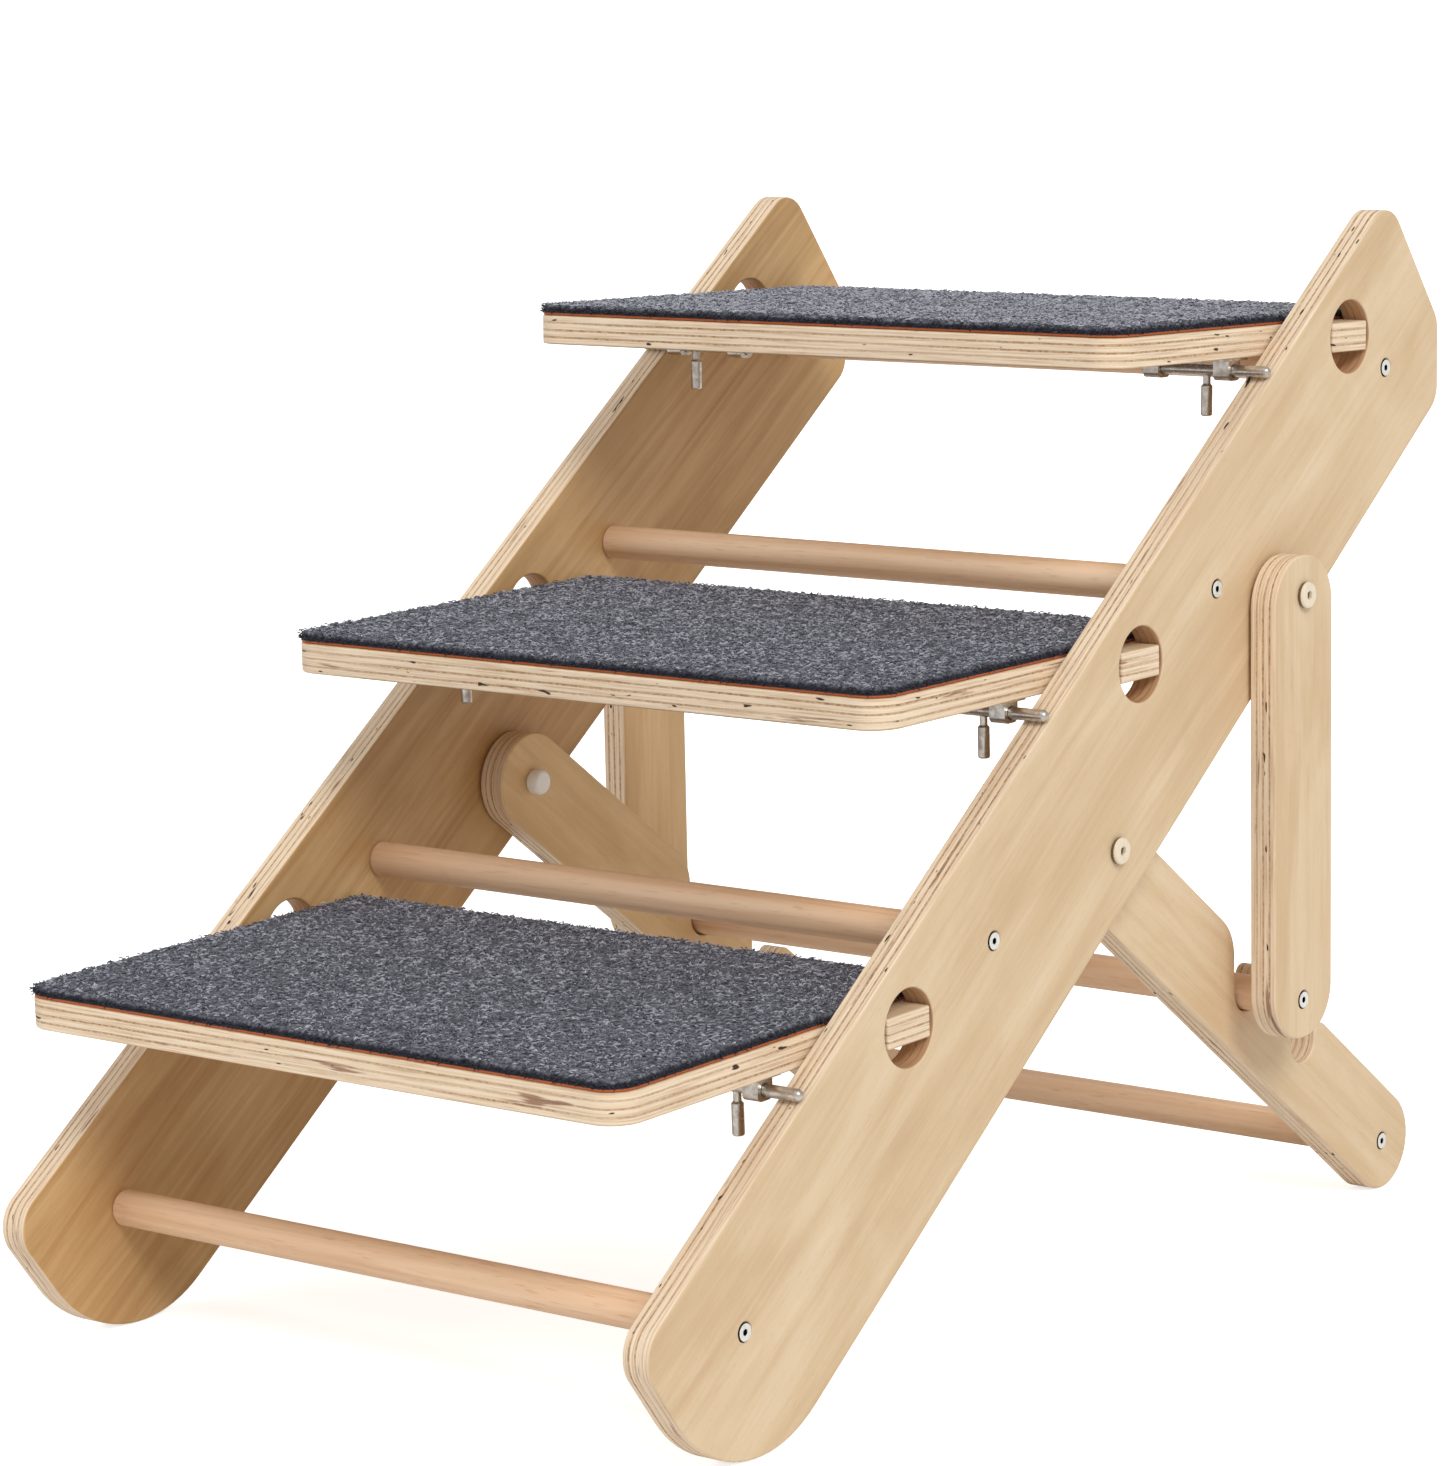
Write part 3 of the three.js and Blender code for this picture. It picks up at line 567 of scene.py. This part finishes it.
def carpet_surface(s, t):
    """The carpet's upper skin over s, t in [-1, 1]: a rounded rectangle with rolled edges and lumps.

    A point within a front corner's square is drawn onto its quarter disc by the square-to-disc map. Near
    the edge the height falls along a quarter circle, and low waves give the rest its lumps.
    """
    half = (CARPET_Y[1] - CARPET_Y[0]) / 2
    x, y = s * CARPET_X, t * half
    corner, curl = CARPET_CORNER, CARPET_CURL
    dx = np.clip(np.abs(x) - (CARPET_X - corner), 0, corner) / corner
    dy = np.clip(np.abs(y) - (half - corner), 0, corner) / corner
    front = y < 0
    pull_x = np.where(front, dx * np.sqrt(1 - dy * dy / 2), dx)
    pull_y = np.where(front, dy * np.sqrt(1 - dx * dx / 2), dy)
    x = np.sign(x) * (np.minimum(np.abs(x), CARPET_X - corner) + corner * pull_x)
    y = np.sign(y) * (np.minimum(np.abs(y), half - corner) + corner * pull_y)
    inward = np.minimum(CARPET_X * (1 - np.abs(s)), half * (1 - np.abs(t)))
    roll = curl - np.clip(inward, 0, curl)
    lumps = 0.22 * np.sin(x * 0.31 + 1.7 * np.sin(y * 0.23)) * np.sin(y * 0.37 + 1.3 * np.sin(x * 0.19))
    z = CARPET_HEIGHT - NAP - curl + np.sqrt(curl**2 - roll**2) + lumps * (1 - roll / curl)
    return x, y + (CARPET_Y[0] + CARPET_Y[1]) / 2, z


def carpet_ground(i):
    """A closed slab: the upper skin on a grid of s and t, a flat underside, and walls between them."""
    nx, ny = 150, 100
    s, t = np.meshgrid(np.linspace(-1, 1, nx), np.linspace(-1, 1, ny), indexing="ij")
    x, y, z = carpet_surface(s, t)
    top = np.stack([x, y, z], -1).reshape(-1, 3)
    vertices = np.concatenate([top, top * [1, 1, 0]])
    a, b = np.meshgrid(np.arange(nx - 1), np.arange(ny - 1), indexing="ij")
    first = (a * ny + b).ravel()
    skin = np.stack([first, first + ny, first + ny + 1, first + 1], 1)
    rim = np.concatenate([np.arange(0, nx * ny, ny), np.arange((nx - 1) * ny + 1, nx * ny),
                          np.arange(nx * ny - 1 - ny, ny - 2, -ny), np.arange(ny - 2, 0, -1)])
    ahead = np.roll(rim, -1)
    walls = np.stack([rim, rim + nx * ny, ahead + nx * ny, ahead], 1)
    faces = np.concatenate([skin, skin[:, ::-1] + nx * ny, walls])
    mesh = place_on_tread(f"carpet_ground_{i + 1}", vertices, faces, i)
    set_values(mesh, "height", vertices[:, 2])
    return mesh


def place_on_tread(name, local, faces, i):
    """A smooth mesh on a tread, from points whose height is counted from the carpet's underside."""
    origin, u, v, w = tread_axes(i)
    local = local + [0, 0, CARPET_Z]
    mesh = mesh_of(name, (origin + local @ np.stack([u, v, w])) * MM, faces)
    smooth(mesh)
    return mesh


def strands(starts, headings, lifts, lengths, bends, thick):
    """Curled strands: each point steps along a heading that turns by its bend, and rises by its lift.

    Each strand is a three-sided tube of four rings that tapers to its tip. Arrays run (strand, ring).
    """
    rings = np.linspace(0, 1, STRAND_RINGS)
    heading = headings[:, None] + bends[:, None] * rings
    step = lengths[:, None] / (STRAND_RINGS - 1)
    x = starts[:, :1] + np.cumsum(np.cos(heading) * step, 1)
    y = starts[:, 1:2] + np.cumsum(np.sin(heading) * step, 1)
    z = starts[:, 2:3] + lifts[:, :1] * np.sin(math.pi * rings) + lifts[:, 1:] * rings
    centre = np.stack([x, y, z], -1)
    across = np.stack([-np.sin(heading), np.cos(heading), 0 * heading], -1)
    radius = (thick * np.array([0.7, 1.0, 0.95, 0.4]))[None, :, None]
    sides = [centre + radius * (math.cos(a) * across + np.array([0, 0, math.sin(a)]))
             for a in (math.pi / 2, math.pi * 7 / 6, math.pi * 11 / 6)]
    vertices = np.stack(sides, 2)
    count = STRAND_SIDES
    ring, corner = np.meshgrid(np.arange(STRAND_RINGS - 1), np.arange(count), indexing="ij")
    here, there = ring * count + corner, ring * count + (corner + 1) % count
    quads = np.stack([here, there, there + count, here + count], -1).reshape(1, -1, 4)
    firsts = np.arange(len(starts)) * STRAND_RINGS * count
    return vertices.reshape(-1, 3), (quads + firsts[:, None, None]).reshape(-1, 4)


def lying_strands(draw, count, tone_with_painted_light):
    """Short curled fibres scattered over the upper skin, each with its own grey, in clumps of 4.5 mm."""
    s, t = draw.uniform(-0.987, 0.987, count), draw.uniform(-0.982, 0.982, count)
    x, y, z = carpet_surface(s, t)
    wide, deep = 82, 52
    clump = ((s + 1) * wide / 2).astype(int), ((t + 1) * deep / 2).astype(int)
    clumps = draw.normal(0, 0.19, (wide, deep))[clump]
    lifts = np.stack([draw.uniform(0.1, 0.7, count), draw.uniform(-0.3, 0.2, count)], 1)
    made = strands(np.stack([x, y, z + 0.1], 1), draw.uniform(0, 2 * math.pi, count), lifts,
                   draw.uniform(1.8, 3.8, count), draw.normal(0, 2.0, count), FIBRE_THICKNESS)
    # The mean grey includes painted light on the upper treads.
    return made, np.clip(tone_with_painted_light + clumps + draw.normal(0, 0.27, count), 0, 1)


def edge_strands(draw, count):
    """Tufts whose roots run round the rim, on all four sides, and that point outwards, kept near black as
    painted shade on the carpet's rim.
    """
    ring, along = draw.uniform(0, 4, count), draw.uniform(-1, 1, count)
    rim = [ring < 1.3, ring < 2.6, ring < 3.3]
    s = np.select(rim, [along, along, 1 + 0 * ring], -1)
    t = np.select(rim, [-1 + 0 * ring, 1 + 0 * ring, along], along)
    x, y, _ = carpet_surface(s * 0.997, t * 0.995)
    outward = np.select(rim, [-math.pi / 2, math.pi / 2, 0], math.pi)
    lifts = np.stack([draw.uniform(-0.4, 0.5, count), draw.uniform(-1.0, 1.0, count)], 1)
    made = strands(np.stack([x, y, draw.uniform(1.3, CARPET_HEIGHT - 1.2, count)], 1),
                   outward + draw.normal(0, 1.0, count), lifts, draw.uniform(0.9, 2.3, count),
                   draw.normal(0, 1.4, count), FIBRE_THICKNESS)
    # Painted shade: the rim tufts get greys near 0, near black.
    return made, np.clip(draw.normal(0.08, 0.10, count), 0, 1)


def carpet_pile(i, part):
    """Half of a carpet's fibres. Those that would pass the rim are drawn back to it."""
    draw = np.random.default_rng(40 + 10 * i + part)
    (lying, lying_faces), lying_shade = lying_strands(draw, LYING_FIBRES, CARPET_TONE_WITH_PAINTED_LIGHT[i])
    (edging, edging_faces), edging_shade = edge_strands(draw, RIM_FIBRES)
    lying[:, 0] = np.clip(lying[:, 0], -CARPET_X, CARPET_X)
    lying[:, 1] = np.clip(lying[:, 1], *CARPET_Y)
    vertices = np.concatenate([lying, edging])
    limit = TREAD_SIDE + FRINGE_REACH
    vertices[:, 0] = np.clip(vertices[:, 0], -limit, limit)
    faces = np.concatenate([lying_faces, edging_faces + len(lying)])
    mesh = place_on_tread(f"carpet_pile_{i + 1}_{part}", vertices, faces, i)
    mesh.materials.append(FIBRE)
    mesh.polygons.foreach_set("material_index", np.repeat([0, 1], [len(lying_faces), len(edging_faces)]))
    shades = np.concatenate([lying_shade, edging_shade])
    set_values(mesh, "shade", np.repeat(shades, STRAND_RINGS * STRAND_SIDES))
    return mesh


for i in range(3):
    body = f"tread_{i + 1}"
    board(body, tread_loops(), tread_axes(i), -PLY / 2, PLY / 2, body)
    ground = show(f"carpet_ground_{i + 1}", carpet_ground(i), FELT, body, [f"carpet_{i + 1}"])
    pile = [show(f"carpet_pile_{i + 1}_{part}", carpet_pile(i, part), FRINGE, body)
            for part in (1, 2)]


# ---------------------------------------------------------------- metal pieces


def latch_screws(i):
    """The eight domed screws that hold a tread's two bolt guides: turned profiles, four beside each rod."""
    lean = SLOPE + TILTS[i]
    off_edge = HOLE_UV[0][1] + ROD_RADIUS + ROD_CLEARANCE
    rod_y = -(off_edge + (PLY / 2 + ROD_DROP) * math.cos(lean)) / math.sin(lean)
    across = (LATCH_WIDTH / 2 + GUIDE_HALF_WIDTH) / 2
    underside = -PLY / 2 - GAP - LATCH_PLATE - 0.05
    domed_head = [(-1.3, 0.001), (-1.3, 0.8), (-1.2, 1.0), (-0.8, 2.0), (-0.2, 2.5), (0, 2.5)]
    shank = [(0, 1.5), (2.5, 1.5), (2.5, 0.001)]
    screw, faces = lathe(domed_head + shank, 20)
    places = [(side * (OUTER - LATCH_INBOARD - station), rod_y + edge * across, underside)
              for side in (-1, 1) for station in LATCH_HOLES for edge in (-1, 1)]
    vertices = np.concatenate([screw[:, [1, 2, 0]] + place for place in places])
    faces = np.concatenate([faces + k * len(screw) for k in range(len(places))])
    origin, u, v, w = tread_axes(i)
    mesh = mesh_of(f"latch_screws_{i + 1}", (origin + vertices @ np.stack([u, v, w])) * MM, faces)
    smooth(mesh)
    mesh.set_sharp_from_angle(angle=math.radians(40))
    show(f"latch_screws_{i + 1}", mesh, BOLT_STEEL, f"tread_{i + 1}")


for i in range(3):
    latch_screws(i)


def finish_metal(node_name, material, ease):
    """A CAD node's own shape with its edges eased and a finish."""
    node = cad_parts[node_name]
    node.data.materials.clear()
    node.data.materials.append(material)
    weld = node.modifiers.new("weld", "WELD")
    weld.merge_threshold = 1e-5
    bevel = node.modifiers.new("ease", "BEVEL")
    bevel.width, bevel.segments = ease * MM, 2
    bevel.limit_method, bevel.angle_limit = "ANGLE", math.radians(38)
    bevel.harden_normals = True
    node.data.polygons.foreach_set("use_smooth", np.ones(len(node.data.polygons), bool))
    node.modifiers.new("flat faces", "WEIGHTED_NORMAL")


for node_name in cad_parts:
    if node_name.endswith("_screw"):
        kind = "leg" if "leg_dowel" in node_name else "strut" if "locking" in node_name else "frame"
        finish_metal(node_name, SCREW_ZINC[kind], 0.15)
    elif node_name.endswith("_washer"):
        finish_metal(node_name, ZINC, 0.15)
    elif "_bolt_rod_" in node_name or "_bolt_guide_" in node_name:
        finish_metal(node_name, BOLT_STEEL, 0.25)
    elif node_name.endswith("_pivot_bolt"):
        finish_metal(node_name, CREAM["leg" if "leg_pivot" in node_name else "strut"], 0.5)
    elif node_name.endswith("_cap_nut"):
        finish_metal(node_name, WHITE, 0.5)


# ---------------------------------------------------------------- floor, light and camera


def studio():
    """A wide pale floor just under the feet, a white sky, a soft key light and a softer fill."""
    floor = bpy.data.meshes.new("floor")
    half, level = 150, -0.0004
    corners = [(-half, -half, level), (half, -half, level), (half, half, level), (-half, half, level)]
    floor.from_pydata(corners, [], [(0, 1, 2, 3)])
    paper = Finish("pale_floor", Base_Color=(0.9, 0.9, 0.9, 1), Roughness=0.9)
    paper.shader.inputs["Emission Color"].default_value = (1, 1, 1, 1)
    paper.feed("Emission Strength", paper.maths("MULTIPLY", paper.node("LightPath"), 0.7))
    floor.materials.append(paper.material)
    ground = bpy.data.objects.new("floor", floor)
    bpy.context.scene.collection.objects.link(ground)
    world = bpy.data.worlds.new("studio")
    bpy.context.scene.world = world
    world.use_nodes = True
    sky = world.node_tree.nodes["Background"]
    sky.inputs["Color"].default_value = (1, 0.99, 0.97, 1)
    seen = world.node_tree.nodes.new("ShaderNodeLightPath")
    glow = world.node_tree.nodes.new("ShaderNodeMapRange")
    glow.inputs["To Min"].default_value, glow.inputs["To Max"].default_value = 0.57, 1.1
    world.node_tree.links.new(seen.outputs["Is Camera Ray"], glow.inputs["Value"])
    world.node_tree.links.new(glow.outputs["Result"], sky.inputs["Strength"])
    lamps = (("key", (0.8, -0.45, 0.85), 1.6, 26), ("fill", (-0.5, -0.8, 0.8), 0.45, 60))
    for name, direction, strength, softness in lamps:
        lamp = bpy.data.lights.new(name, "SUN")
        lamp.energy, lamp.angle, lamp.color = strength, math.radians(softness), (1, 0.985, 0.96)
        light = bpy.data.objects.new(name, lamp)
        light.rotation_mode = "QUATERNION"
        light.rotation_quaternion = Vector(direction).to_track_quat("Z", "Y")
        bpy.context.scene.collection.objects.link(light)


def camera():
    """A long lens at the front right, looking down at about ten degrees."""
    yaw, pitch, roll = 0.6676769, 0.1812698, -0.0196811
    level = math.cos(pitch)
    forward = np.array([-math.sin(yaw) * level, math.cos(yaw) * level, -math.sin(pitch)])
    flat = np.array([math.cos(yaw), math.sin(yaw), 0])
    steep = np.cross(flat, forward)
    right = math.cos(roll) * flat + math.sin(roll) * steep
    up = math.cos(roll) * steep - math.sin(roll) * flat
    lens = bpy.data.cameras.new("camera")
    lens.sensor_width = 36
    lens.lens = 119.852251
    lens.shift_x, lens.shift_y = -0.0242838, 0.0665075
    lens.clip_start, lens.clip_end = 0.05, 400
    view = bpy.data.objects.new("camera", lens)
    matrix = np.eye(4)
    matrix[:3, 0], matrix[:3, 1], matrix[:3, 2] = right, up, -forward
    matrix[:3, 3] = 1.48842, -1.88132, 0.66257
    view.matrix_world = Matrix(matrix.tolist())
    bpy.context.scene.collection.objects.link(view)
    bpy.context.scene.camera = view


studio()
camera()
bpy.context.scene.view_settings.view_transform = "Standard"
